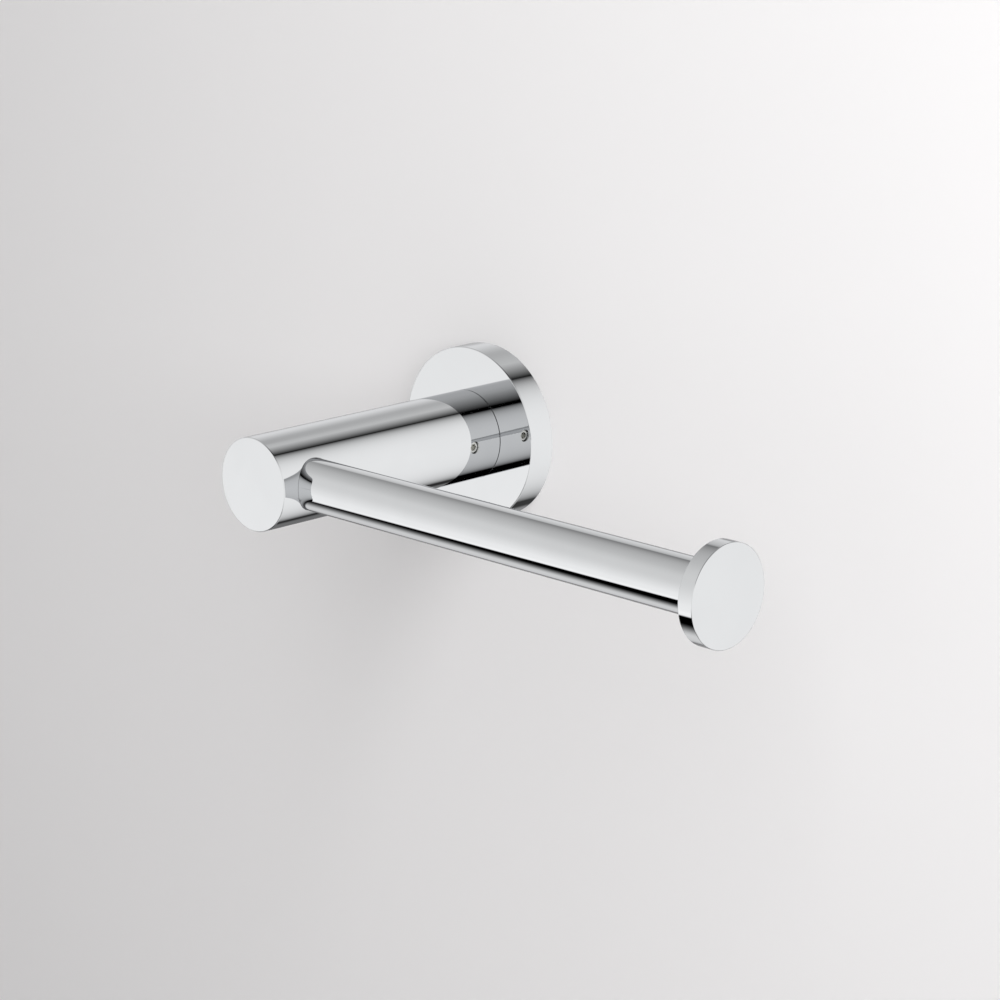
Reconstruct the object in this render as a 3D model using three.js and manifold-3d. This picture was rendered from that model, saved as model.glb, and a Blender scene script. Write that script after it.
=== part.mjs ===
// Wall-mounted toilet paper holder: a round flange, a post standing out from the wall and
// one horizontal arm with an end disc. Millimetres, +Z up.
// The origin is the centre of the back, on the wall's surface. The room is towards -Y,
// and the arm points along +X.
import * as THREE from 'three';
import { mergeVertices } from 'three/addons/utils/BufferGeometryUtils.js';
import Module from 'manifold-3d';

const wasm = await Module();
wasm.setup();

// ---------------------------------------------------------------- driving dimensions
const GAP = 0.3; // left between pieces that touch or are threaded together
const EDGE = 0.3; // chamfer on the polished edges
const OVERCUT = 1; // how far a cutting tool runs past the surface it starts from

const FLANGE_RADIUS = 27.5;
const FLANGE_DEPTH = 9.2;
const FLANGE_WALL = 1.6;

const POST_RADIUS = 14.05;
const POST_FRONT = 97; // wall to the post's front face
const POST_BORE_RADIUS = 11.5;
const POST_BORE_BOTTOM = 62; // wall to the bottom of the rear bore

const ARM_FROM_WALL = 84; // wall to the arm's axis
const ARM_RADIUS = 7.8;
const ARM_WALL = 1.5;
const ARM_REACH = 171; // post axis to the end disc's outer face
const DISC_RADIUS = 14.2;
const DISC_THICKNESS = 4.9;

const PLATE_RADIUS = 24.5;
const PLATE_THICKNESS = 3;
const WALL_SCREW_OFFSET = 18; // above and below the centre
const SPIGOT_LENGTH = 34; // wall to the spigot's front end
const TENON_RADIUS = 5;

const WALL_SCREW_RADIUS = 2;
const WALL_SCREW_HEAD_RADIUS = 4;
const WALL_SCREW_TIP = 32; // how deep the tip sits in the wall
const PLUG_RADIUS = 4;
const PLUG_END = 30;

const GRUB_FROM_WALL = 20.1;
const GRUB_RADIUS = 1.8; // M4 thread
const GRUB_OUTER_END = 13.3; // post axis to the socketed end
const GRUB_TIP = 9.3; // post axis to the cone's tip
const GRUB_TIP_RADIUS = 0.4;

const STUB_RADIUS = 5;
const STUB_END = -6; // past the post's axis, on the side away from the arm
const SOCKET_BOTTOM = 7; // post axis to the floor of the arm's socket
const LOCK_RADIUS = 3; // M6 thread
const LOCK_LENGTH = 10;
const STUB_FLAT_DEPTH = 0.5;

const DISC_STUD_RADIUS = 2.5; // M5 thread
const DISC_STUD_LENGTH = 19.4;
const DISC_SKIN = 1.2; // metal left between the stud's blind hole and the disc's face

const FINE = 72; // sides on the flange, the post and the disc
const MEDIUM = 48; // sides on the arm, the spigot and the bores
const COARSE = 24; // sides on screws and plugs

// ---------------------------------------------------------------- derived places
const FLANGE_BORE_RADIUS = POST_BORE_RADIUS;
const SPIGOT_RADIUS = POST_BORE_RADIUS - GAP;
const POST_REAR = FLANGE_DEPTH + GAP;
const TUBE_START = SOCKET_BOTTOM + GAP;
const DISC_INNER = ARM_REACH - DISC_THICKNESS;
const TUBE_END = DISC_INNER - GAP;
const TUBE_BORE_RADIUS = ARM_RADIUS - ARM_WALL;
const INSERT_RADIUS = TUBE_BORE_RADIUS - GAP;
const SLOPE_GAP = GAP * Math.SQRT2; // a GAP measured square to a 45 degree cone

// ---------------------------------------------------------------- finishes
const FINISHES = {
  chrome: { color: 0xe3e6e8, roughness: 0.05, metalness: 1 },
  brass: { color: 0xc9a55a, roughness: 0.3, metalness: 1 },
  zinc: { color: 0xb4b8bc, roughness: 0.38, metalness: 1 },
  stainless: { color: 0xa9abad, roughness: 0.28, metalness: 1 },
  nylon: { color: 0x9a9da1, roughness: 0.6, metalness: 0 },
};

function makeMesh(name, geometry, finish) {
  const mesh = new THREE.Mesh(geometry, new THREE.MeshStandardMaterial(FINISHES[finish]));
  mesh.name = name;
  return mesh;
}

// ---------------------------------------------------------------- shapes and cuts
// A turned shape about local Y. The profile is [radius, distance along Y] with Y rising.
function turned(profile, sides) {
  return new THREE.LatheGeometry(profile.map(([radius, y]) => new THREE.Vector2(radius, y)), sides);
}

// A plain turned bar from one place to another, with an optional chamfer at each end.
function bar(radius, from, to, sides, chamferFrom = 0, chamferTo = 0) {
  const profile = [[0, from]];
  if (chamferFrom > 0) profile.push([radius - chamferFrom, from]);
  profile.push([radius, from + chamferFrom], [radius, to - chamferTo]);
  if (chamferTo > 0) profile.push([radius - chamferTo, to]);
  profile.push([0, to]);
  return turned(profile, sides);
}

// A six-sided key socket about local Y.
function keySocket(acrossFlats, from, to) {
  const socket = new THREE.CylinderGeometry(acrossFlats / Math.sqrt(3), acrossFlats / Math.sqrt(3), to - from, 6);
  return socket.translate(0, (from + to) / 2, 0);
}

// Turns a shape built along local Y so that it runs along +X.
function alongX(geometry) {
  return geometry.rotateZ(-Math.PI / 2);
}

function toManifold(geometry) {
  const bare = geometry.clone();
  bare.deleteAttribute('normal');
  bare.deleteAttribute('uv');
  const merged = mergeVertices(bare, 1e-4);
  const triangles = [];
  for (let i = 0; i < merged.index.count; i += 3) {
    const [a, b, c] = [0, 1, 2].map((k) => merged.index.getX(i + k));
    if (a !== b && b !== c && c !== a) triangles.push(a, b, c);
  }
  const mesh = new wasm.Mesh({
    numProp: 3,
    vertProperties: new Float32Array(merged.attributes.position.array),
    triVerts: new Uint32Array(triangles),
  });
  return new wasm.Manifold(mesh);
}

function toGeometry(manifold) {
  const { vertProperties, triVerts } = manifold.getMesh();
  const geometry = new THREE.BufferGeometry();
  geometry.setAttribute('position', new THREE.BufferAttribute(vertProperties, 3));
  geometry.setIndex(new THREE.BufferAttribute(triVerts, 1));
  geometry.computeVertexNormals();
  return geometry;
}

function cut(body, ...tools) {
  return toGeometry(tools.reduce((left, tool) => left.subtract(toManifold(tool)), toManifold(body)));
}

function join(...bodies) {
  const [first, ...others] = bodies.map(toManifold);
  return toGeometry(others.reduce((whole, next) => whole.add(next), first));
}

// ---------------------------------------------------------------- pieces fixed to the wall
// Round steel plate that the two wall screws hold against the wall.
function wallPlate() {
  const clearRadius = WALL_SCREW_RADIUS + GAP;
  const sinkRadius = WALL_SCREW_HEAD_RADIUS + SLOPE_GAP;
  const screwHole = turned(
    [
      [0, -PLATE_THICKNESS - OVERCUT],
      [sinkRadius, -PLATE_THICKNESS - OVERCUT],
      [sinkRadius, -PLATE_THICKNESS],
      [clearRadius, -PLATE_THICKNESS + sinkRadius - clearRadius],
      [clearRadius, OVERCUT],
      [0, OVERCUT],
    ],
    COARSE,
  );
  return cut(
    bar(PLATE_RADIUS, -PLATE_THICKNESS, 0, MEDIUM, EDGE, 0),
    bar(TENON_RADIUS + GAP, -PLATE_THICKNESS - OVERCUT, OVERCUT, MEDIUM),
    screwHole.clone().translate(0, 0, WALL_SCREW_OFFSET),
    screwHole.clone().translate(0, 0, -WALL_SCREW_OFFSET),
  );
}

// Turned brass spigot. Its tenon passes through the plate and is staked flush with the back.
// The V groove runs all the way round, so the post can be locked at any angle.
function spigot() {
  const grooveRadius = GRUB_TIP - GAP;
  const grooveFloor = GRUB_TIP_RADIUS + SLOPE_GAP - GAP;
  const grooveMouth = grooveFloor + SPIGOT_RADIUS - grooveRadius;
  const leadIn = 1;
  return turned(
    [
      [0, -SPIGOT_LENGTH],
      [SPIGOT_RADIUS - leadIn, -SPIGOT_LENGTH],
      [SPIGOT_RADIUS, -SPIGOT_LENGTH + leadIn],
      [SPIGOT_RADIUS, -GRUB_FROM_WALL - grooveMouth],
      [grooveRadius, -GRUB_FROM_WALL - grooveFloor],
      [grooveRadius, -GRUB_FROM_WALL + grooveFloor],
      [SPIGOT_RADIUS, -GRUB_FROM_WALL + grooveMouth],
      [SPIGOT_RADIUS, -PLATE_THICKNESS - GAP],
      [TENON_RADIUS, -PLATE_THICKNESS - GAP],
      [TENON_RADIUS, 0],
      [0, 0],
    ],
    MEDIUM,
  );
}

// Countersunk wood screw with a cross recess. Its tip comes out of the end of its plug.
function wallScrew() {
  const headCone = WALL_SCREW_HEAD_RADIUS - WALL_SCREW_RADIUS;
  const pointLength = 4;
  const recessWidth = 1.1;
  const recessSpan = 4;
  const recessDepth = 1.5;
  const body = turned(
    [
      [0, -PLATE_THICKNESS],
      [WALL_SCREW_HEAD_RADIUS, -PLATE_THICKNESS],
      [WALL_SCREW_RADIUS, -PLATE_THICKNESS + headCone],
      [WALL_SCREW_RADIUS, WALL_SCREW_TIP - pointLength],
      [0, WALL_SCREW_TIP],
    ],
    COARSE,
  );
  const blade = new THREE.BoxGeometry(recessSpan, 2 * recessDepth, recessWidth);
  blade.translate(0, -PLATE_THICKNESS, 0);
  return cut(body, blade, blade.clone().rotateY(Math.PI / 2));
}

// Nylon wall plug: a collar under the plate, a bore for the screw, and a slit down to its end.
function wallPlug() {
  const collarRadius = 4.8;
  const collarDepth = 1;
  const boreRadius = WALL_SCREW_RADIUS + GAP;
  const slitStart = 9;
  const slitWidth = 1;
  const taper = 0.6;
  const body = turned(
    [
      [boreRadius, GAP],
      [collarRadius, GAP],
      [collarRadius, GAP + collarDepth],
      [PLUG_RADIUS, GAP + collarDepth],
      [PLUG_RADIUS, PLUG_END - 3 * taper],
      [PLUG_RADIUS - taper, PLUG_END],
      [boreRadius, PLUG_END],
      [boreRadius, GAP],
    ],
    COARSE,
  );
  const slitLength = PLUG_END - slitStart + OVERCUT;
  const slit = new THREE.BoxGeometry(2 * PLUG_RADIUS + OVERCUT, slitLength, slitWidth);
  slit.translate(0, slitStart + slitLength / 2, 0);
  return cut(body, slit);
}

// Spun flange cover: a shallow cup that hides the plate. The post's rear end holds it on.
function flangeCover() {
  return turned(
    [
      [FLANGE_BORE_RADIUS, -FLANGE_DEPTH],
      [FLANGE_RADIUS - EDGE, -FLANGE_DEPTH],
      [FLANGE_RADIUS, -FLANGE_DEPTH + EDGE],
      [FLANGE_RADIUS, 0],
      [FLANGE_RADIUS - FLANGE_WALL, 0],
      [FLANGE_RADIUS - FLANGE_WALL, -FLANGE_DEPTH + FLANGE_WALL],
      [FLANGE_BORE_RADIUS, -FLANGE_DEPTH + FLANGE_WALL],
      [FLANGE_BORE_RADIUS, -FLANGE_DEPTH],
    ],
    FINE,
  );
}

// ---------------------------------------------------------------- pieces that turn together
// Bored bar. A grub screw hole and the arm's socket open on its +X side, and a tapped hole
// runs from the bottom of the rear bore into the bore for the arm's stub.
function post() {
  const armCentre = -ARM_FROM_WALL;
  const outside = POST_RADIUS + OVERCUT;
  return cut(
    bar(POST_RADIUS, -POST_FRONT, -POST_REAR, FINE, EDGE, EDGE / 2),
    bar(POST_BORE_RADIUS, -POST_BORE_BOTTOM, -POST_REAR + OVERCUT, MEDIUM),
    alongX(bar(GRUB_RADIUS + GAP, 0, outside, COARSE)).translate(0, -GRUB_FROM_WALL, 0),
    alongX(bar(ARM_RADIUS + GAP, SOCKET_BOTTOM, outside, MEDIUM)).translate(0, armCentre, 0),
    alongX(bar(STUB_RADIUS + GAP, STUB_END - GAP, outside, MEDIUM)).translate(0, armCentre, 0),
    bar(LOCK_RADIUS + GAP, armCentre, -POST_BORE_BOTTOM + OVERCUT, COARSE),
  );
}

// Cone-point grub screw. It is driven from the +X side, and its cone pulls the post home.
function grubScrew() {
  const socketDepth = 2;
  const keySize = 2;
  const cone = GRUB_RADIUS - GRUB_TIP_RADIUS;
  const body = bar(GRUB_RADIUS, GRUB_TIP, GRUB_OUTER_END, COARSE, cone, 0.2);
  const socket = keySocket(keySize, GRUB_OUTER_END - socketDepth, GRUB_OUTER_END + OVERCUT);
  return alongX(cut(body, socket));
}

// Set screw that locks the arm's stub in the post, driven through the rear bore.
function lockScrew() {
  const keySize = 3;
  const socketDepth = 3.5;
  const tip = STUB_RADIUS - STUB_FLAT_DEPTH + GAP;
  const end = tip + LOCK_LENGTH;
  return cut(
    bar(LOCK_RADIUS, tip, end, COARSE, 1, 0.4),
    keySocket(keySize, end - socketDepth, end + OVERCUT),
  );
}

// Brass insert at the arm's inner end: a plug inside the tube and a stub inside the post.
function armRootInsert() {
  const plugLength = 20;
  const stubBevel = 0.8;
  const flatLength = 8;
  const body = join(
    bar(STUB_RADIUS, STUB_END, TUBE_START + plugLength / 2, MEDIUM, stubBevel, 0),
    bar(INSERT_RADIUS, TUBE_START, TUBE_START + plugLength, MEDIUM, 0, stubBevel),
  );
  // The flat faces the wall: local -X is world +Y once the arm's group is turned.
  const flat = new THREE.BoxGeometry(STUB_FLAT_DEPTH + OVERCUT, flatLength, 2 * STUB_RADIUS);
  flat.translate(-STUB_RADIUS + (STUB_FLAT_DEPTH - OVERCUT) / 2, 0, 0);
  return cut(body, flat);
}

// Chromed tube. Its square inner end sits in the post's socket.
function armTube() {
  return turned(
    [
      [TUBE_BORE_RADIUS, TUBE_START],
      [ARM_RADIUS, TUBE_START],
      [ARM_RADIUS, TUBE_END],
      [TUBE_BORE_RADIUS, TUBE_END],
      [TUBE_BORE_RADIUS, TUBE_START],
    ],
    MEDIUM,
  );
}

// Tapped brass insert at the arm's outer end.
function armEndInsert() {
  const insertLength = 18;
  const bevel = 0.8;
  return cut(
    bar(INSERT_RADIUS, TUBE_END - insertLength, TUBE_END, MEDIUM, bevel, 0),
    bar(DISC_STUD_RADIUS + GAP, TUBE_END - insertLength - OVERCUT, TUBE_END + OVERCUT, COARSE),
  );
}

// Headless stud that joins the end disc to the insert, with its key socket facing inwards.
function discStud() {
  const keySize = 2.5;
  const socketDepth = 3;
  const bevel = 0.4;
  const outer = ARM_REACH - DISC_SKIN - GAP;
  const inner = outer - DISC_STUD_LENGTH;
  return cut(
    bar(DISC_STUD_RADIUS, inner, outer, COARSE, bevel, bevel),
    keySocket(keySize, inner - OVERCUT, inner + socketDepth),
  );
}

// Solid end disc that keeps the roll on the arm, with a blind tapped hole in its inner face.
function endDisc() {
  return cut(
    bar(DISC_RADIUS, DISC_INNER, ARM_REACH, FINE, EDGE, EDGE),
    bar(DISC_STUD_RADIUS + GAP, DISC_INNER - OVERCUT, ARM_REACH - DISC_SKIN, COARSE),
  );
}

// ---------------------------------------------------------------- assembly
function wallSide() {
  const group = new THREE.Group();
  group.add(makeMesh('wall_plate', wallPlate(), 'zinc'));
  group.add(makeMesh('spigot', spigot(), 'brass'));
  for (const [place, side] of [['upper', 1], ['lower', -1]]) {
    const screw = makeMesh(`wall_screw_${place}`, wallScrew(), 'stainless');
    const plug = makeMesh(`wall_plug_${place}`, wallPlug(), 'nylon');
    screw.position.z = side * WALL_SCREW_OFFSET;
    plug.position.z = side * WALL_SCREW_OFFSET;
    group.add(screw, plug);
  }
  group.add(makeMesh('flange_cover', flangeCover(), 'chrome'));
  return group;
}

function turningSide() {
  const group = new THREE.Group();
  const grub = makeMesh('grub_screw', grubScrew(), 'stainless');
  const lock = makeMesh('arm_lock_screw', lockScrew(), 'stainless');
  grub.position.y = -GRUB_FROM_WALL;
  lock.position.y = -ARM_FROM_WALL;
  group.add(makeMesh('post', post(), 'chrome'), grub, lock);

  // The arm is built along its own Y and turned to point along +X.
  const arm = new THREE.Group();
  arm.position.y = -ARM_FROM_WALL;
  arm.rotation.z = -Math.PI / 2;
  arm.add(makeMesh('arm_root_insert', armRootInsert(), 'brass'));
  arm.add(makeMesh('arm_tube', armTube(), 'chrome'));
  arm.add(makeMesh('arm_end_insert', armEndInsert(), 'brass'));
  arm.add(makeMesh('end_disc_stud', discStud(), 'stainless'));
  arm.add(makeMesh('end_disc', endDisc(), 'chrome'));
  group.add(arm);
  return group;
}

const holder = new THREE.Group();
holder.name = 'toilet_paper_holder';
holder.add(wallSide(), turningSide());

export default holder;
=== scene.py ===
"""Looks for a wall-mounted chrome toilet paper holder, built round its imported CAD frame.

Metres, +Z up. The wall is the plane y = 0, the room is towards -Y and the arm points along +X.
"""
import math

import bpy
import numpy as np
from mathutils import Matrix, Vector


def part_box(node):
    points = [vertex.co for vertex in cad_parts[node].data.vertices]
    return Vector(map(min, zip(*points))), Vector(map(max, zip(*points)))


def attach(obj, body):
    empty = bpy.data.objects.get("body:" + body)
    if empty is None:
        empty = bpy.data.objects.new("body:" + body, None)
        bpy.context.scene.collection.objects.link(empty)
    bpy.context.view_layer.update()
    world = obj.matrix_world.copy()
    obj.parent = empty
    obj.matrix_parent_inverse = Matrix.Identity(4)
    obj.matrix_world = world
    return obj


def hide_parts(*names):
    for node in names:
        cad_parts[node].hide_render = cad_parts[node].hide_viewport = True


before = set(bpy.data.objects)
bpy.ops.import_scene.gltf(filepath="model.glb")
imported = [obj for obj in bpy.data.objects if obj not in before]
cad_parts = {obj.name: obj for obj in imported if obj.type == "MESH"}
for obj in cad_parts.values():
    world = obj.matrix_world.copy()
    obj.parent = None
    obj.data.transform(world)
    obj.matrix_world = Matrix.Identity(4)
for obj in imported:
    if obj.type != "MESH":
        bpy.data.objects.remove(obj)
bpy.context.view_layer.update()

MM = 0.001
DEGREES = 180 / math.pi  # in one radian
WALL_SIDE = "wall_side"
TURNING_SIDE = "post_and_arm"
GRUB_SIDE = "grub"

# ------------------------------------------------------------------ sizes, read from the frame
FLANGE_LOW, FLANGE_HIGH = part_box("flange_cover")
POST_LOW, POST_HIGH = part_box("post")
TUBE_LOW, TUBE_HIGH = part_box("arm_tube")
DISC_LOW, DISC_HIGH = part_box("end_disc")
PLATE_LOW, PLATE_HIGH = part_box("wall_plate")
SPIGOT_LOW, SPIGOT_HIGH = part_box("spigot")
SCREW_LOW, SCREW_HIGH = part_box("wall_screw_upper")
PLUG_LOW, PLUG_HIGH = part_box("wall_plug_upper")
GRUB_LOW, GRUB_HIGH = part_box("grub_screw")
LOCK_LOW, LOCK_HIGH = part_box("arm_lock_screw")
ROOT_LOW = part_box("arm_root_insert")[0]
STUD_LOW, STUD_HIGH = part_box("end_disc_stud")

ARM_Y = (TUBE_LOW.y + TUBE_HIGH.y) / 2
GRUB_Y = (GRUB_LOW.y + GRUB_HIGH.y) / 2
SCREW_Z = (SCREW_LOW.z + SCREW_HIGH.z) / 2
SEAM = 0.05 * MM  # left between pieces that sit tight on each other
EDGE = 0.3 * MM  # rounding of the polished edges
FLANGE_WALL = 1.6 * MM
TUBE_WALL = 1.5 * MM

FINE = 288  # sides on the polished round pieces
MEDIUM = 144  # sides on the plain round pieces and their bores
COARSE = 64  # sides on threads and small holes
TOOL_ROLL = math.radians(0.4)  # keeps a cutting tool's edges off the edges of what it cuts
OVERCUT = 1 * MM  # how far a cutting tool runs past the surface it starts from


# ------------------------------------------------------------------ turned shapes
class Axis:
    """A line to turn a profile about: w runs along it, and u and v point out from it."""

    def __init__(self, w, u, origin, roll=0.0):
        self.w = np.array(w, float)
        aside = np.cross(self.w, u)
        self.u = math.cos(roll) * np.array(u, float) + math.sin(roll) * aside
        self.v = np.cross(self.w, self.u)
        self.origin = np.array(origin, float)

    def out(self, angle):
        return math.cos(angle) * self.u + math.sin(angle) * self.v

    def point(self, radius, along, angle):
        return self.origin + radius * self.out(angle) + along * self.w


def along_y(z=0.0, roll=0.0):
    return Axis((0, 1, 0), (0, 0, 1), (0, 0, z), roll)


def along_x(y, roll=0.0):
    return Axis((1, 0, 0), (0, 1, 0), (0, y, 0), roll)


def side_of(start, end):
    """The normal of a profile's straight stretch, on its right-hand side."""
    d = (end - start) / np.linalg.norm(end - start)
    return np.array([d[1], -d[0]])


def turn_by(n, angle):
    c, s = math.cos(angle), math.sin(angle)
    return np.array([n[0] * c - n[1] * s, n[0] * s + n[1] * c])


def rounding_at(before, at, after, size, steps):
    """The places and normals along the rounding of one corner."""
    n1, n2 = side_of(before, at), side_of(at, after)
    turn = math.atan2(n1[0] * n2[1] - n1[1] * n2[0], float(n1 @ n2))
    side = math.copysign(1.0, turn)
    reach = size * math.tan(abs(turn) / 2)
    start = at - reach * (at - before) / np.linalg.norm(at - before)
    centre = start - side * size * n1
    normals = [turn_by(n1, turn * k / steps) for k in range(steps + 1)]
    return [(centre + side * size * n, n) for n in normals]


def profile_runs(corners, steps=6):
    """Short stretches, each two (place, normal) ends, through corners (radius, along, rounding).

    The metal is on the left-hand side. A profile whose ends meet is closed."""
    places = [np.array(corner[:2], float) for corner in corners]
    count = len(places) - 1
    arcs = {}
    for i in range(1, count):
        if len(corners[i]) > 2:
            arcs[i] = rounding_at(places[i - 1], places[i], places[i + 1], corners[i][2], steps)
    runs = []
    for i in range(count):
        n = side_of(places[i], places[i + 1])
        start = arcs[i][-1][0] if i in arcs else places[i]
        end = arcs[i + 1][0][0] if i + 1 in arcs else places[i + 1]
        runs.append(((start, n), (end, n)))
        if i + 1 in arcs:
            runs.extend(zip(arcs[i + 1][:-1], arcs[i + 1][1:]))
    return runs


def turned_mesh(name, runs, axis, sides):
    """A closed turned body whose corners all carry the true normal of the surface."""
    on_axis = 0.0005 * MM
    decimals = 5
    angles = [2 * math.pi * k / sides for k in range(sides)]
    outs = [axis.out(angle) for angle in angles]
    rings, places, faces, normals = {}, [], [], []

    def ring(place):
        key = (round(place[0] / MM, decimals), round(place[1] / MM, decimals))
        if key not in rings:
            count = 1 if place[0] < on_axis else sides
            first = len(places)
            places.extend(axis.point(place[0], place[1], angle) for angle in angles[:count])
            rings[key] = [first + k % count for k in range(sides)]
        return rings[key]

    for (start, n_start), (end, n_end) in runs:
        lower, upper = ring(start), ring(end)
        for k in range(sides):
            j = (k + 1) % sides
            face = {}
            around = ((lower, n_start, k), (lower, n_start, j), (upper, n_end, j), (upper, n_end, k))
            for ends, n, at in around:
                vertex = ends[at]
                if vertex not in face:
                    face[vertex] = n[0] * outs[at] + n[1] * axis.w
            faces.append(list(face))
            normals.extend(face.values())
    mesh = bpy.data.meshes.new(name)
    mesh.from_pydata(places, [], faces)
    mesh.shade_smooth()
    mesh.normals_split_custom_set(normals)
    return mesh


def link(name, mesh):
    obj = bpy.data.objects.new(name, mesh)
    bpy.context.scene.collection.objects.link(obj)
    return obj


class Turned:
    """A turned body, or a turned cutting tool, with what is needed to give it true normals."""

    def __init__(self, name, corners, axis, sides=FINE):
        self.axis = axis
        self.runs = profile_runs(corners)
        self.obj = link(name, turned_mesh(name, self.runs, axis, sides))


def drill(radius, start, end, axis, sides=FINE):
    """A straight round cutting tool."""
    return Turned("cutter", [(0, start), (radius, start), (radius, end), (0, end)], axis, sides)


def prism(outline, axis, start, end, end_scale=1.0):
    """A straight-sided cutting tool about an axis, which may narrow towards its end."""
    places = []
    for along, scale in ((start, 1.0), (end, end_scale)):
        places += [axis.origin + scale * (a * axis.u + b * axis.v) + along * axis.w for a, b in outline]
    count = len(outline)
    faces = [list(range(count))[::-1], list(range(count, 2 * count))]
    for k in range(count):
        j = (k + 1) % count
        faces.append([k, j, count + j, count + k])
    if end < start:
        faces = [face[::-1] for face in faces]
    mesh = bpy.data.meshes.new("cutter")
    mesh.from_pydata(places, [], faces)
    return link("cutter", mesh)


def hexagon(across_flats):
    radius = across_flats / math.sqrt(3)
    return [(radius * math.cos(math.pi * k / 3), radius * math.sin(math.pi * k / 3)) for k in range(6)]


def slot_outline(length, width):
    a, b = length / 2, width / 2
    return [(-a, -b), (a, -b), (a, b), (-a, b)]


# ------------------------------------------------------------------ cuts that keep true normals
def cut_away(obj, cutters):
    for cutter in cutters:
        modifier = obj.modifiers.new("cut", "BOOLEAN")
        modifier.operation = "DIFFERENCE"
        modifier.solver = "EXACT"
        modifier.object = cutter
    depsgraph = bpy.context.evaluated_depsgraph_get()
    mesh = bpy.data.meshes.new_from_object(obj.evaluated_get(depsgraph))
    obj.modifiers.clear()
    old = obj.data
    name = old.name
    obj.data = mesh
    bpy.data.meshes.remove(old)
    mesh.name = name
    for cutter in cutters:
        bpy.data.meshes.remove(cutter.data)


def corner_normals(places, runs, axis, sign):
    """For each stretch of a turned surface, how far each place is from it and its normal there."""
    never_zero = 1e-9
    local = places - axis.origin
    along = local @ axis.w
    across = local - along[:, None] * axis.w
    radius = np.linalg.norm(across, axis=1)
    out = across / np.maximum(radius, never_zero)[:, None]
    found = []
    for (start, n_start), (end, n_end) in runs:
        d = end - start
        t = np.clip(((radius - start[0]) * d[0] + (along - start[1]) * d[1]) / float(d @ d), 0, 1)
        off = np.hypot(radius - start[0] - t * d[0], along - start[1] - t * d[1])
        n = (1 - t)[:, None] * n_start + t[:, None] * n_end
        true = sign * (n[:, :1] * out + n[:, 1:] * axis.w)
        found.append((off, true / np.linalg.norm(true, axis=1)[:, None]))
    return found


def true_normals(mesh, surfaces):
    """Gives each face's corners the normals of the turned surface that the face lies on."""
    tolerance = 0.01 * MM
    least_agreement = 0.7
    places = np.array([v.co for v in mesh.vertices], float)
    tests = []
    for runs, axis, sign in surfaces:
        tests += corner_normals(places, runs, axis, sign)
    normals = []
    for polygon in mesh.polygons:
        index = list(polygon.vertices)
        flat = np.array(polygon.normal)
        best, chosen = tolerance, [flat] * len(index)
        for off, true in tests:
            worst = off[index].max()
            if worst < best and (true[index] @ flat).min() > least_agreement:
                best, chosen = worst, true[index]
        normals.extend(chosen)
    mesh.shade_smooth()
    mesh.normals_split_custom_set(normals)


def carved(body, turned_cutters, plain_cutters=()):
    """Cuts a turned body, and gives what is left its true normals."""
    cut_away(body.obj, [tool.obj for tool in turned_cutters] + list(plain_cutters))
    surfaces = [(body.runs, body.axis, 1.0)] + [(tool.runs, tool.axis, -1.0) for tool in turned_cutters]
    true_normals(body.obj.data, surfaces)
    return body.obj


# ------------------------------------------------------------------ threads
def threaded(name, axis, stations, thread, cutters):
    """A turned body with a helical thread, and with its recess cut out.

    stations are (along, radius) from one end to the other, and thread is the start, end, pitch and
    depth of the threaded stretch."""
    start, end, pitch, depth = thread
    rings_per_turn = 10
    flank_slope = 1.6
    sharp_from = math.radians(40)
    decimals = 8
    alongs, radii = zip(*stations)
    turns = np.arange(start, end, pitch / rings_per_turn)
    places = sorted({round(along, decimals) for along in [*alongs, *turns]})
    vertices = []
    for along in places:
        radius = float(np.interp(along, alongs, radii))
        fade = max(0.0, min(1.0, (along - start) / pitch, (end - along) / pitch))
        for k in range(COARSE):
            crest = abs(2 * ((along / pitch - k / COARSE) % 1.0) - 1)
            groove = depth * fade * min(1.0, flank_slope * crest)
            vertices.append(axis.point(max(radius - groove, SEAM), along, 2 * math.pi * k / COARSE))
    faces = []
    for ring in range(len(places) - 1):
        for k in range(COARSE):
            j = (k + 1) % COARSE
            lower, upper = ring * COARSE, (ring + 1) * COARSE
            faces.append([lower + k, lower + j, upper + j, upper + k])
    faces.append(list(range(COARSE))[::-1])
    faces.append(list(range(len(vertices) - COARSE, len(vertices))))
    mesh = bpy.data.meshes.new(name)
    mesh.from_pydata(vertices, [], faces)
    obj = link(name, mesh)
    cut_away(obj, cutters)
    obj.data.shade_smooth()
    obj.data.set_sharp_from_angle(angle=sharp_from)
    return obj


# ------------------------------------------------------------------ pieces fixed to the wall
def make_flange():
    """Spun cup whose rounded rim meets the wall."""
    under_post = 2 * MM
    outer, bore = FLANGE_HIGH.z, POST_HIGH.z - under_post
    front = FLANGE_LOW.y
    corners = [
        (bore, front),
        (outer, front, EDGE),
        (outer, 0),
        (outer - FLANGE_WALL, 0),
        (outer - FLANGE_WALL, front + FLANGE_WALL, FLANGE_WALL / 2),
        (bore, front + FLANGE_WALL),
        (bore, front),
    ]
    return Turned("flange_shell", corners, along_y()).obj


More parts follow.
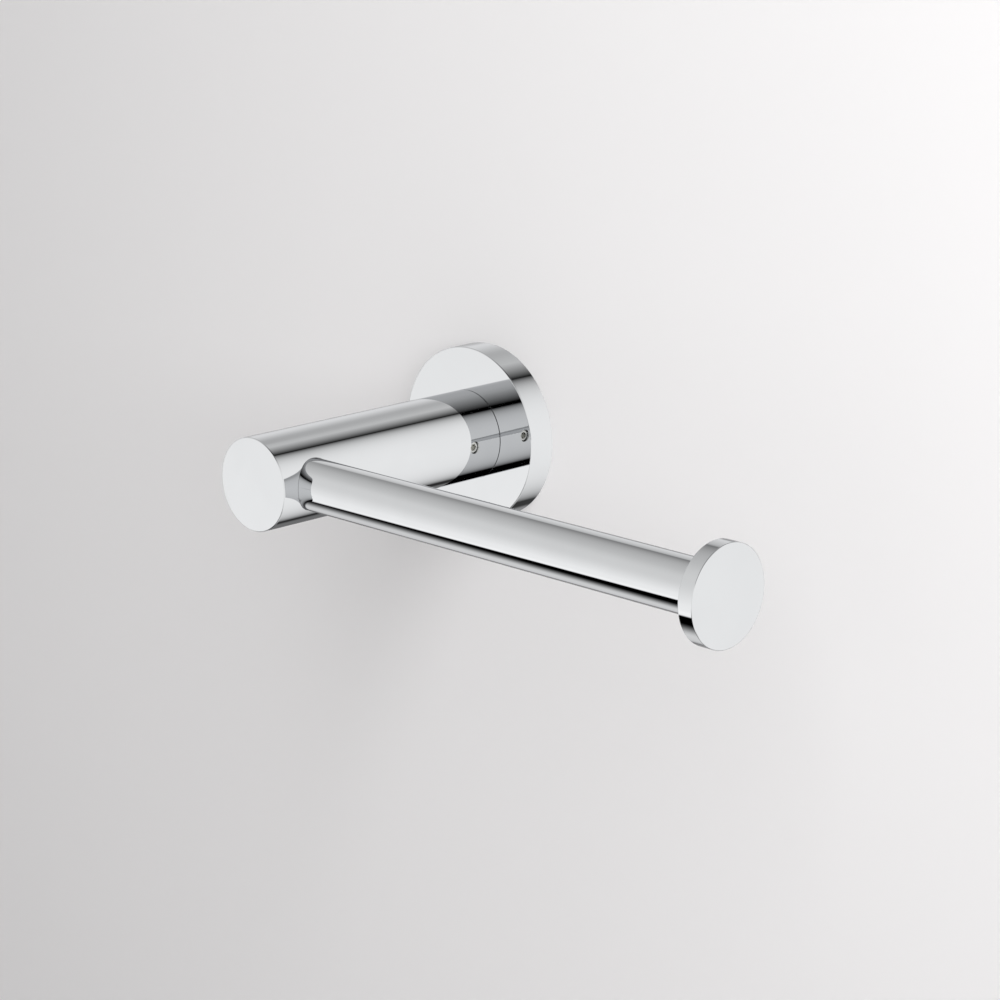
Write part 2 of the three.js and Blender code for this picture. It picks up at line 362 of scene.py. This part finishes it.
def make_wall_plate():
    """Pressed plate with a broken edge, a tenon hole and two countersunk screw holes."""
    outer, front, back = PLATE_HIGH.z, PLATE_LOW.y, 0.0
    front_edge, back_edge = 0.4 * MM, 0.2 * MM
    tenon = 5.05 * MM
    clear, sunk = 2.3 * MM, 4.4 * MM
    past = OVERCUT
    corners = [(0, front), (outer, front, front_edge), (outer, back, back_edge), (0, back)]
    body = Turned("mounting_plate", corners, along_y(), MEDIUM)
    cutters = [drill(tenon, front - past, past, along_y(roll=TOOL_ROLL), MEDIUM)]
    for side in (1, -1):
        hole = [
            (0, front - past),
            (sunk + past, front - past),
            (clear, front + sunk - clear),
            (clear, past),
            (0, past),
        ]
        cutters.append(Turned("cutter", hole, along_y(side * SCREW_Z, TOOL_ROLL), COARSE))
    return carved(body, cutters)


def make_spigot():
    """Turned spigot with a lead-in, the V groove for the grub screw, and a staked tenon."""
    radius, front, back = SPIGOT_HIGH.z, SPIGOT_LOW.y, SPIGOT_HIGH.y
    groove_radius, groove_half = 9.0 * MM, 0.5 * MM
    mouth = groove_half + radius - groove_radius
    lead_in, broken_edge, tenon_edge = 1 * MM, 0.2 * MM, 0.25 * MM
    shoulder = PLATE_LOW.y - 0.1 * MM
    tenon, stake_ring, stake_depth = 5.0 * MM, 3.2 * MM, 0.4 * MM
    corners = [
        (0, front),
        (radius - lead_in, front, broken_edge),
        (radius, front + lead_in, broken_edge),
        (radius, GRUB_Y - mouth),
        (groove_radius, GRUB_Y - groove_half),
        (groove_radius, GRUB_Y + groove_half),
        (radius, GRUB_Y + mouth),
        (radius, shoulder, broken_edge),
        (tenon, shoulder),
        (tenon, back, tenon_edge),
        (stake_ring + stake_depth, back),
        (stake_ring, back - stake_depth),
        (0, back - stake_depth),
    ]
    return Turned("turned_spigot", corners, along_y(), MEDIUM).obj


def make_wall_screw(name, z):
    """Countersunk wood screw with a tapering cross recess."""
    head_front, tip = SCREW_LOW.y, SCREW_HIGH.y
    head, shank = (SCREW_HIGH.z - SCREW_LOW.z) / 2, 2.0 * MM
    head_depth = head - shank
    edge, rim_end, rim_drop = 0.15 * MM, 0.4 * MM, 0.1 * MM
    point_length, point = 5 * MM, 0.1 * MM
    stations = [
        (head_front, head - edge),
        (head_front + edge, head),
        (head_front + rim_end, head - rim_drop),
        (head_front + head_depth, shank),
        (tip - point_length, shank),
        (tip, point),
    ]
    thread_start, thread_end = 4 * MM, tip - 0.3 * MM
    pitch, thread_depth = 1.8 * MM, 0.65 * MM
    long, short, narrowing = 4.4 * MM, 1.2 * MM, 0.4
    cross_front, cross_floor = head_front - 0.5 * MM, head_front + 2 * MM
    axis = along_y(z)
    cross = [
        prism(slot_outline(*size), axis, cross_front, cross_floor, narrowing)
        for size in ((long, short), (short, long))
    ]
    return threaded(name, axis, stations, (thread_start, thread_end, pitch, thread_depth), cross)


def make_wall_plug(name, z):
    """Nylon plug: a collar, a smooth neck, then ribs that grip, split in two down to the end."""
    near, far = PLUG_LOW.y, PLUG_HIGH.y
    collar, outer, bore = (PLUG_HIGH.z - PLUG_LOW.z) / 2, 4.0 * MM, 2.3 * MM
    collar_depth, collar_edge = 1 * MM, 0.2 * MM
    rib_depth, rib_step, rib_pitch, rib_count = 0.45 * MM, 0.3 * MM, 2.6 * MM, 7
    neck_end, end_taper, slit_width = 9 * MM, 1 * MM, 1 * MM
    corners = [
        (bore, near),
        (collar, near, collar_edge),
        (collar, near + collar_depth, collar_edge),
        (outer, near + collar_depth),
        (outer, neck_end),
    ]
    for k in range(rib_count):
        start = neck_end + k * rib_pitch
        corners.append((outer - rib_depth, start + rib_step))
        corners.append((outer, start + rib_pitch))
    corners += [(outer - end_taper, far), (bore, far), (bore, near)]
    axis = along_y(z)
    body = Turned(name, corners, axis, MEDIUM)
    slit = prism(slot_outline(slit_width, 2 * outer + 2 * OVERCUT), axis, neck_end, far + OVERCUT)
    return carved(body, [], [slit])


# ------------------------------------------------------------------ pieces that turn together
def make_post():
    """Bored post with the arm's socket and the grub screw's hole on the arm's side."""
    radius, front, rear = POST_HIGH.z, POST_LOW.y, FLANGE_LOW.y - 3 * SEAM
    behind_arm, before_grub = ARM_Y + 12 * MM, GRUB_Y - 4 * MM
    corners = [
        (0, front),
        (radius, front, EDGE),
        (radius, behind_arm),  # the side is three bands, so that no face meets two cuts
        (radius, before_grub),
        (radius, rear, SEAM),
        (0, rear),
    ]
    body = Turned("post_bar", corners, along_y())
    bore, bore_bottom = 11.5 * MM, -62 * MM
    lock, socket, stub, grub = 3.1 * MM, TUBE_HIGH.z + SEAM, 5.1 * MM, 1.9 * MM
    socket_floor, stub_floor = TUBE_LOW.x - 0.1 * MM, ROOT_LOW.x - 0.2 * MM
    past = OVERCUT
    outside = radius + past
    main, arm = along_y(roll=TOOL_ROLL), along_x(ARM_Y, TOOL_ROLL)
    cross = along_x(GRUB_Y, 2 * TOOL_ROLL)
    cutters = [
        drill(grub, past, outside, cross, MEDIUM),
        drill(bore, bore_bottom, rear + past, main, MEDIUM),
        drill(lock, ARM_Y, bore_bottom + past, main, COARSE),
        drill(socket, socket_floor, outside, arm),
        drill(stub, stub_floor, outside, arm, MEDIUM),
    ]
    return carved(body, cutters)


def make_arm_tube():
    outer, start, end = TUBE_HIGH.z, TUBE_LOW.x, DISC_LOW.x - SEAM
    bore = outer - TUBE_WALL
    corners = [(bore, start), (outer, start), (outer, end), (bore, end), (bore, start)]
    return Turned("arm_bar", corners, along_x(ARM_Y)).obj


def make_end_disc():
    radius, inner, outer = DISC_HIGH.z, DISC_LOW.x, DISC_HIGH.x
    hole, hole_floor = 2.7 * MM, STUD_HIGH.x + 0.2 * MM
    corners = [(0, inner), (radius, inner, EDGE), (radius, outer, EDGE), (0, outer)]
    body = Turned("arm_end_disc", corners, along_x(ARM_Y))
    return carved(body, [drill(hole, inner - OVERCUT, hole_floor, along_x(ARM_Y, TOOL_ROLL), COARSE)])


def set_screw(name, axis, stations, thread, across_flats, socket_from, socket_floor):
    """A headless screw with a hexagon socket."""
    socket = prism(hexagon(across_flats), axis, socket_from, socket_floor)
    return threaded(name, axis, stations, thread, [socket])


def make_grub_screw():
    """M4 cone point."""
    tip, end, radius = GRUB_LOW.x, GRUB_HIGH.x, GRUB_HIGH.z
    point, cone, edge = 0.4 * MM, 1.4 * MM, 0.2 * MM
    pitch, thread_depth = 0.7 * MM, 0.3 * MM
    across_flats, socket_depth = 2 * MM, 2 * MM
    stations = [(tip, point), (tip + cone, radius), (end - edge, radius), (end, radius - edge)]
    thread = (tip + 1 * MM, end - 0.05 * MM, pitch, thread_depth)
    axis = along_x(GRUB_Y)
    socket = (across_flats, end + OVERCUT, end - socket_depth)
    return set_screw("cone_grub_screw", axis, stations, thread, *socket)


def make_lock_screw():
    """M6 flat point, with its socket towards the wall."""
    tip, end, radius = LOCK_LOW.y, LOCK_HIGH.y, LOCK_HIGH.z
    point, edge = 1 * MM, 0.4 * MM
    pitch, thread_depth = 1 * MM, 0.5 * MM
    across_flats, socket_depth = 3 * MM, 3.5 * MM
    stations = [(tip, radius - point), (tip + point, radius), (end - edge, radius), (end, radius - edge)]
    thread = (tip + 0.6 * MM, end - 0.1 * MM, pitch, thread_depth)
    socket = (across_flats, end + OVERCUT, end - socket_depth)
    return set_screw("stub_lock_screw", along_y(), stations, thread, *socket)


def make_disc_stud():
    """M5 stud, with its socket towards the post."""
    inner, outer, radius = STUD_LOW.x, STUD_HIGH.x, STUD_HIGH.z
    edge, run_out = 0.4 * MM, 0.1 * MM
    pitch, thread_depth = 0.8 * MM, 0.4 * MM
    across_flats, socket_depth = 2.5 * MM, 3 * MM
    stations = [
        (inner, radius - edge),
        (inner + edge, radius),
        (outer - edge, radius),
        (outer, radius - edge),
    ]
    thread = (inner + run_out, outer - run_out, pitch, thread_depth)
    socket = (across_flats, inner - OVERCUT, inner + socket_depth)
    return set_screw("disc_joining_stud", along_x(ARM_Y), stations, thread, *socket)


# ------------------------------------------------------------------ numbers worked out by nodes
class Number:
    """A number in a shader, which arithmetic turns into Math nodes."""

    def __init__(self, tree, socket):
        self.tree = tree
        self.socket = socket

    def maths(self, operation, *values):
        node = self.tree.nodes.new("ShaderNodeMath")
        node.operation = operation
        for socket, value in zip(node.inputs, values):
            if isinstance(value, Number):
                self.tree.links.new(value.socket, socket)
            else:
                socket.default_value = value
        return Number(self.tree, node.outputs[0])

    def __add__(self, other):
        return self.maths("ADD", self, other)

    def __radd__(self, other):
        return self.maths("ADD", self, other)

    def __sub__(self, other):
        return self.maths("SUBTRACT", self, other)

    def __rsub__(self, other):
        return self.maths("SUBTRACT", other, self)

    def __mul__(self, other):
        return self.maths("MULTIPLY", self, other)

    def __rmul__(self, other):
        return self.maths("MULTIPLY", self, other)

    def exp(self):
        return self.maths("EXPONENT", self)

    def at_least(self, other):
        return self.maths("MAXIMUM", self, other)

    def angle_from(self, other):
        return self.maths("ARCTAN2", self, other)

    def map(self, start, end, kind, low=0.0, high=1.0):
        node = self.tree.nodes.new("ShaderNodeMapRange")
        node.interpolation_type = kind
        self.tree.links.new(self.socket, node.inputs["Value"])
        node.inputs["From Min"].default_value = start
        node.inputs["From Max"].default_value = end
        node.inputs["To Min"].default_value = low
        node.inputs["To Max"].default_value = high
        return Number(self.tree, node.outputs["Result"])

    def rise(self, start, end):
        """0 at start and 1 at end, in a straight line."""
        return self.map(start, end, "LINEAR")

    def ease(self, start, end):
        """0 at start and 1 at end, with soft ends."""
        return self.map(start, end, "SMOOTHSTEP")

    def bell(self, centre, width):
        """1 at centre, fading on both sides."""
        off = (self - centre) * (1.0 / width)
        return (0.0 - off * off).exp()


def mixed(a, b, share):
    return a * (1.0 - share) + b * share


# ------------------------------------------------------------------ finishes
class Finish:
    """A procedural material under construction, with textures laid out in the object's metres."""

    def __init__(self, name):
        self.material = bpy.data.materials.new(name)
        self.material.use_nodes = True
        self.tree = self.material.node_tree
        self.tree.nodes.clear()
        self.shader = self.tree.nodes.new("ShaderNodeBsdfPrincipled")
        output = self.tree.nodes.new("ShaderNodeOutputMaterial")
        self.tree.links.new(self.shader.outputs[0], output.inputs["Surface"])
        self.place = self.tree.nodes.new("ShaderNodeTexCoord").outputs["Object"]

    def stretched(self, scale):
        node = self.tree.nodes.new("ShaderNodeMapping")
        node.inputs["Scale"].default_value = scale
        self.tree.links.new(self.place, node.inputs["Vector"])
        return node.outputs["Vector"]

    def noise(self, scale, detail, stretch=None, distortion=0.0):
        node = self.tree.nodes.new("ShaderNodeTexNoise")
        node.inputs["Scale"].default_value = scale
        node.inputs["Detail"].default_value = detail
        node.inputs["Distortion"].default_value = distortion
        self.tree.links.new(self.stretched(stretch) if stretch else self.place, node.inputs["Vector"])
        return Number(self.tree, node.outputs["Fac"])

    def cells(self, scale):
        node = self.tree.nodes.new("ShaderNodeTexVoronoi")
        node.inputs["Scale"].default_value = scale
        self.tree.links.new(self.place, node.inputs["Vector"])
        tone = self.tree.nodes.new("ShaderNodeSeparateColor")
        self.tree.links.new(node.outputs["Color"], tone.inputs[0])
        return Number(self.tree, tone.outputs[0])

    def colour(self, dark, light, share):
        node = self.tree.nodes.new("ShaderNodeMix")
        node.data_type = "RGBA"
        node.inputs["A"].default_value = (*dark, 1)
        node.inputs["B"].default_value = (*light, 1)
        self.tree.links.new(share.socket, node.inputs["Factor"])
        self.tree.links.new(node.outputs["Result"], self.shader.inputs["Base Color"])

    def roughness(self, value):
        self.tree.links.new(value.socket, self.shader.inputs["Roughness"])

    def bump(self, height, distance):
        node = self.tree.nodes.new("ShaderNodeBump")
        node.inputs["Strength"].default_value = 1.0
        node.inputs["Distance"].default_value = distance
        self.tree.links.new(height.socket, node.inputs["Height"])
        self.tree.links.new(node.outputs["Normal"], self.shader.inputs["Normal"])

    def metal(self):
        self.shader.inputs["Metallic"].default_value = 1.0
        return self


def make_chrome():
    """Bright plate: mirror smooth, with faint wiping marks and the slightest orange peel."""
    finish = Finish("bright_chrome").metal()
    film = finish.noise(scale=55, detail=3, distortion=0.6)
    wipes = finish.noise(scale=900, detail=2, stretch=(1.0, 0.12, 1.0))
    grazing_tint = (0.76, 0.76, 0.77)
    dark, light = (0.619, 0.627, 0.637), (0.631, 0.639, 0.649)
    finish.colour(dark, light, film.ease(0.3, 0.7))
    finish.shader.inputs["Specular Tint"].default_value = (*grazing_tint, 1)
    under_film = film.map(0.35, 0.75, "SMOOTHSTEP", low=0.018, high=0.040)
    in_wipes = wipes.map(0.5, 0.8, "SMOOTHSTEP", low=0.0, high=0.012)
    finish.roughness(under_film + in_wipes)
    finish.bump(finish.noise(scale=260, detail=2), distance=0.0012 * MM)
    return finish.material


def make_brass():
    """Machined brass with fine turning marks and a dull, darker film."""
    finish = Finish("machined_brass").metal()
    film = finish.noise(scale=140, detail=5)
    rings = finish.noise(scale=1500, detail=2, stretch=(0.05, 1.0, 0.05))
    dark, light = (0.50, 0.33, 0.13), (0.78, 0.57, 0.27)
    finish.colour(dark, light, film.ease(0.25, 0.7))
    finish.roughness(film.map(0.3, 0.7, "LINEAR", low=0.40, high=0.24) + rings * 0.08)
    finish.bump(rings + film * 0.5, distance=0.03 * MM)
    return finish.material


def make_zinc():
    """Zinc-plated steel: pale, blotchy and slightly bluish, with a faint crystal pattern."""
    finish = Finish("zinc_plated_steel").metal()
    blotch = finish.noise(scale=90, detail=6, distortion=0.4)
    crystal = finish.cells(scale=900)
    dark, light = (0.42, 0.44, 0.47), (0.68, 0.69, 0.70)
    finish.colour(dark, light, (blotch * 0.7 + crystal * 0.3).ease(0.2, 0.75))
    finish.roughness(blotch.map(0.3, 0.7, "LINEAR", low=0.46, high=0.30) + crystal * 0.08)
    finish.bump(finish.noise(scale=1400, detail=4) + blotch, distance=0.03 * MM)
    return finish.material


def make_stainless():
    """Plain stainless steel, drawn and lightly tumbled."""
    finish = Finish("stainless_steel").metal()
    film = finish.noise(scale=400, detail=5)
    dark, light = (0.56, 0.56, 0.54), (0.76, 0.76, 0.73)
    finish.colour(dark, light, film.ease(0.25, 0.75))
    finish.roughness(film.map(0.3, 0.7, "LINEAR", low=0.20, high=0.36))
    finish.bump(finish.noise(scale=3000, detail=3), distance=0.01 * MM)
    return finish.material


def make_nylon():
    """Moulded grey nylon with a fine grain and slight flow marks."""
    finish = Finish("moulded_nylon")
    flow = finish.noise(scale=180, detail=4, stretch=(1.0, 0.25, 1.0), distortion=0.8)
    dark, light = (0.22, 0.23, 0.24), (0.36, 0.37, 0.38)
    finish.colour(dark, light, flow.ease(0.25, 0.75))
    finish.roughness(flow.map(0.3, 0.7, "LINEAR", low=0.48, high=0.66))
    finish.bump(finish.noise(scale=2600, detail=3), distance=0.04 * MM)
    return finish.material


def make_one_sided(name, light, dark):
    """Matt paint that shows from the front only, so that the stage never hides the object."""
    finish = Finish(name)
    cloud = finish.noise(scale=2.2, detail=3)
    grain = finish.noise(scale=220, detail=3)
    finish.colour(dark, light, cloud.ease(0.3, 0.7))
    finish.roughness(grain.map(0.3, 0.7, "LINEAR", low=0.82, high=0.94))
    finish.shader.inputs["Specular IOR Level"].default_value = 0.1
    tree = finish.tree
    clear = tree.nodes.new("ShaderNodeBsdfTransparent")
    either = tree.nodes.new("ShaderNodeMixShader")
    back = tree.nodes.new("ShaderNodeNewGeometry").outputs["Backfacing"]
    tree.links.new(back, either.inputs["Fac"])
    tree.links.new(finish.shader.outputs[0], either.inputs[1])
    tree.links.new(clear.outputs[0], either.inputs[2])
    output = next(node for node in tree.nodes if node.type == "OUTPUT_MATERIAL")
    tree.links.new(either.outputs[0], output.inputs["Surface"])
    return finish.material


# ------------------------------------------------------------------ stage and light
def make_wall(material):
    """The wall behind the object, open under the flange, where plugs and screws go in."""
    half, sides = 1.6, 96
    gap_behind = 0.05 * MM
    under_flange = 1 * MM
    hole = FLANGE_HIGH.z - under_flange
    places, faces = [], []
    for k in range(sides):
        c, s = math.cos(2 * math.pi * k / sides), math.sin(2 * math.pi * k / sides)
        reach = half / max(abs(c), abs(s))
        places += [(hole * c, gap_behind, hole * s), (reach * c, gap_behind, reach * s)]
    for k in range(sides):
        j = (k + 1) % sides
        faces.append([2 * k, 2 * k + 1, 2 * j + 1, 2 * j])
    stage_surface("stage_wall", places, faces, material)


def make_floor(material):
    half, depth, level = 2.0, 3.0, -1.1
    places = [(-half, 0, level), (-half, -depth, level), (half, -depth, level), (half, 0, level)]
    stage_surface("stage_floor", places, [[0, 1, 2, 3]], material)


def stage_surface(name, places, faces, material):
    mesh = bpy.data.meshes.new(name)
    mesh.from_pydata(places, [], faces)
    mesh.materials.append(material)
    obj = link(name, mesh)
    obj.visible_glossy = False


def aim(obj, place, target):
    obj.location = place
    obj.rotation_mode = "QUATERNION"
    obj.rotation_quaternion = (Vector(target) - Vector(place)).to_track_quat("-Z", "Y")


def add_softbox(name, place, target, size, power):
    data = bpy.data.lights.new(name, "AREA")
    data.shape = "DISK"
    data.size = size
    data.energy = power
    obj = bpy.data.objects.new(name, data)
    bpy.context.scene.collection.objects.link(obj)
    aim(obj, place, target)
    obj.visible_glossy = False
    obj.visible_camera = False


# The tent is what the chrome mirrors, from black at 0 to white at 1. It depends on the direction
# (x, y, z) and on angle, which goes round the Y axis in degrees: 0 along +X, 90 up, 180 along -X
# and 270 down. The arm's side is +X, and the wall would be at +Y.
def arm_side(y, angle):
    """It falls off towards a dark joint overhead and one below."""
    full, roof_fall, floor_fall = 0.783, 15, 17
    lean = 6.0 * y
    roof_edge, floor_edge = 73.2 + lean, 258.4 - lean
    over_arm = full * (1.0 - ((angle - roof_edge) * (1 / roof_fall)).exp())
    under_arm = full * (1.0 - ((floor_edge - angle) * (1 / floor_fall)).exp())
    return over_arm.at_least(under_arm)


def upper_panels(y, angle):
    """Above the horizon, across from the arm: one panel in front of the object and one behind."""
    front = 0.45 * angle.rise(77, 122) + 0.08 * angle.ease(120, 140) + 0.27 * angle.rise(138, 203)
    back = 0.48 * angle.rise(77, 103) + 0.26 * angle.ease(130, 164) - 0.56 * angle.ease(164, 208)
    front_glow = 0.06 * angle.bell(140, 15) * y.bell(-0.5, 0.25)
    back_dip = 0.045 * angle.bell(126, 10)
    return mixed(front + front_glow, back - back_dip, y.ease(-0.2, 0.6))


def lower_panels(x, y, angle):
    """Below the horizon it darkens backwards, with dark dips behind and one thin bright line."""
    front, lost_behind = 0.82, 0.18
    dip = 0.70 * y.bell(0.50, 0.10)
    steep_dip = 0.42 * y.bell(0.52, 0.13) * x.ease(-0.70, -0.72)
    bright_line = 0.07 * angle.bell(217, 3) * y.ease(-0.30, -0.42)
    light = (front - lost_behind * y.ease(-0.5, -0.3)) * (1.0 - dip) + bright_line
    return light * (1.0 - steep_dip)


def roof_shade(y, angle):
    """The dark rear edge of the roof, which stops sharply behind and fades slowly forwards."""
    depth, fade_forwards, fade_behind = 0.65, 0.30, 0.05
    in_front = 0.43 + 0.008 * (141.0 - angle) - y
    behind = in_front * -1.0
    fade = in_front.at_least(0.0) * (-1 / fade_forwards) + behind.at_least(0.0) * (-1 / fade_behind)
    return depth * fade.exp() * angle.bell(134, 14.5)


def far_side(x, y, angle):
    """Across from the arm: the panels, and the dark things that stand before them."""
    corner_tone = 0.16
    corner = angle.ease(174, 205) * y.ease(0.585, 0.625) * y.ease(0.75, 0.66)
    leaning = angle - 2.8 * x.ease(-0.74, -0.62)
    flag_low_in_front = leaning.ease(217.2, 219.2) * y.ease(0.12, -0.36)
    joint_past_flag = 0.85 * (angle + 8.0 * y.ease(0.65, 0.68)).ease(240, 252)
    side = mixed(upper_panels(y, angle), lower_panels(x, y, angle), angle.ease(195, 212))
    side = mixed(side, corner_tone, corner)
    side = side * (1.0 - flag_low_in_front) * (1.0 - joint_past_flag)
    return side * (1.0 - roof_shade(y, angle))


def horizon_lines(x, y, z):
    """The horizon: a thin line on the arm's side in front, and a soft band behind across from it."""
    near = 0.35 * z.bell(-0.03, 0.025) * x.ease(0.0, 0.3)
    near = near * y.ease(-0.674, -0.680) * y.ease(-0.704, -0.698)
    far = 0.56 * z.bell(0.06, 0.09) * y.ease(0.66, 0.72) * x.ease(0.0, -0.3)
    return (1.0 - near) * (1.0 - far)


def end_shade(x, y, z):
    """Past the arm's two ends: a soft grey roof, and a thin dark joint underneath."""
    turn = z.angle_from(y) * DEGREES
    soft_roof = 0.32 * turn.bell(70, 28) * x.ease(0.85, 0.76)
    thin_joint = 0.85 * turn.bell(-100, 7) * x.ease(0.62, 0.54)
    past_ends = (x.ease(0.15, 0.35) + x.ease(-0.77, -0.81)) * y.ease(0.62, 0.50) * y.ease(-0.64, -0.50)
    return past_ends * (soft_roof + thin_joint)


def studio_light(x, y, z, angle):
    """How bright the whole tent is in one direction."""
    light = arm_side(y, angle).at_least(far_side(x, y, angle)).at_least(0.0)
    light = light * horizon_lines(x, y, z) * (1.0 - end_shade(x, y, z))
    # Straight ahead and straight behind, where angle has no meaning, it is one even panel.
    panel_slope = 0.10 * z
    light = mixed(light, 0.66 + panel_slope, y.ease(-0.84, -0.95))
    return mixed(light, 0.55 + panel_slope, y.ease(0.84, 0.95))


def make_world():
    """Chrome sees the studio tent. Everything else gets even light, and the camera a pale room."""
    chrome_reflectance = 0.632
    tint = (1.0, 1.0, 0.997)
    even_light, room = 0.412, 0.74
    world = bpy.data.worlds.new("studio")
    world.use_nodes = True
    tree = world.node_tree
    tree.nodes.clear()
    direction = tree.nodes.new("ShaderNodeTexCoord").outputs["Generated"]
    split = tree.nodes.new("ShaderNodeSeparateXYZ")
    tree.links.new(direction, split.inputs[0])
    x, y, z = (Number(tree, split.outputs[name]) for name in "XYZ")
    angle = (z * -1.0).angle_from(x * -1.0) * DEGREES + 180.0
    glossy = studio_light(x, y, z, angle) * (1 / chrome_reflectance)
    path = tree.nodes.new("ShaderNodeLightPath")
    is_camera = Number(tree, path.outputs["Is Camera Ray"])
    is_glossy = Number(tree, path.outputs["Is Glossy Ray"])
    strength = mixed(even_light + (room - even_light) * is_camera, glossy, is_glossy)
    background = tree.nodes.new("ShaderNodeBackground")
    background.inputs["Color"].default_value = (*tint, 1)
    tree.links.new(strength.socket, background.inputs["Strength"])
    output = tree.nodes.new("ShaderNodeOutputWorld")
    tree.links.new(background.outputs[0], output.inputs["Surface"])
    bpy.context.scene.world = world


def make_camera():
    """Looks at the wall from the front right, 15 degrees above the arm."""
    place = (0.6342, -0.6297, 0.2171)
    target = (0.00616, -0.00141, -0.02158)
    data = bpy.data.cameras.new("camera")
    data.lens = 105.5
    data.sensor_width = 36
    data.clip_start = 0.05
    data.clip_end = 20
    obj = bpy.data.objects.new("camera", data)
    bpy.context.scene.collection.objects.link(obj)
    aim(obj, place, target)
    bpy.context.scene.camera = obj


# ------------------------------------------------------------------ assembly
def finish_piece(obj, material, slot, body, *nodes):
    """A new piece: its finish, the body that it moves with, and the CAD nodes that it stands for."""
    obj.data.materials.clear()
    obj.data.materials.append(material)
    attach(obj, body)
    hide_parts(*nodes)


def refinish(node, material):
    """A CAD node that stays, with a better material."""
    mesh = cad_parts[node].data
    mesh.materials.clear()
    mesh.materials.append(material)


make_camera()
bpy.context.scene.view_settings.view_transform = "Standard"
make_world()
add_softbox("key", place=(0.76, -0.42, 0.52), target=(0, 0, 0), size=1.1, power=13.0)
add_softbox("fill", place=(0.05, -0.5, -0.02), target=(0.05, 0, -0.02), size=0.5, power=0.22)
paint = make_one_sided("pale_paint", light=(0.865, 0.853, 0.856), dark=(0.855, 0.843, 0.846))
make_wall(paint)
make_floor(paint)

chrome, brass, zinc = make_chrome(), make_brass(), make_zinc()
stainless, nylon = make_stainless(), make_nylon()
finish_piece(make_flange(), chrome, "chrome", WALL_SIDE, "flange_cover")
finish_piece(make_wall_plate(), zinc, "zinc_steel", WALL_SIDE, "wall_plate")
finish_piece(make_spigot(), brass, "brass", WALL_SIDE, "spigot")
for level, z in (("upper", SCREW_Z), ("lower", -SCREW_Z)):
    screw = make_wall_screw(f"{level}_wood_screw", z)
    plug = make_wall_plug(f"{level}_ribbed_plug", z)
    finish_piece(screw, stainless, "stainless", WALL_SIDE, f"wall_screw_{level}")
    finish_piece(plug, nylon, "nylon", WALL_SIDE, f"wall_plug_{level}")
finish_piece(make_post(), chrome, "chrome", TURNING_SIDE, "post")
finish_piece(make_arm_tube(), chrome, "chrome", TURNING_SIDE, "arm_tube")
finish_piece(make_end_disc(), chrome, "chrome", TURNING_SIDE, "end_disc")
finish_piece(make_lock_screw(), stainless, "stainless", TURNING_SIDE, "arm_lock_screw")
finish_piece(make_disc_stud(), stainless, "stainless", TURNING_SIDE, "end_disc_stud")
finish_piece(make_grub_screw(), stainless, "stainless", GRUB_SIDE, "grub_screw")
refinish("arm_root_insert", brass)
refinish("arm_end_insert", brass)
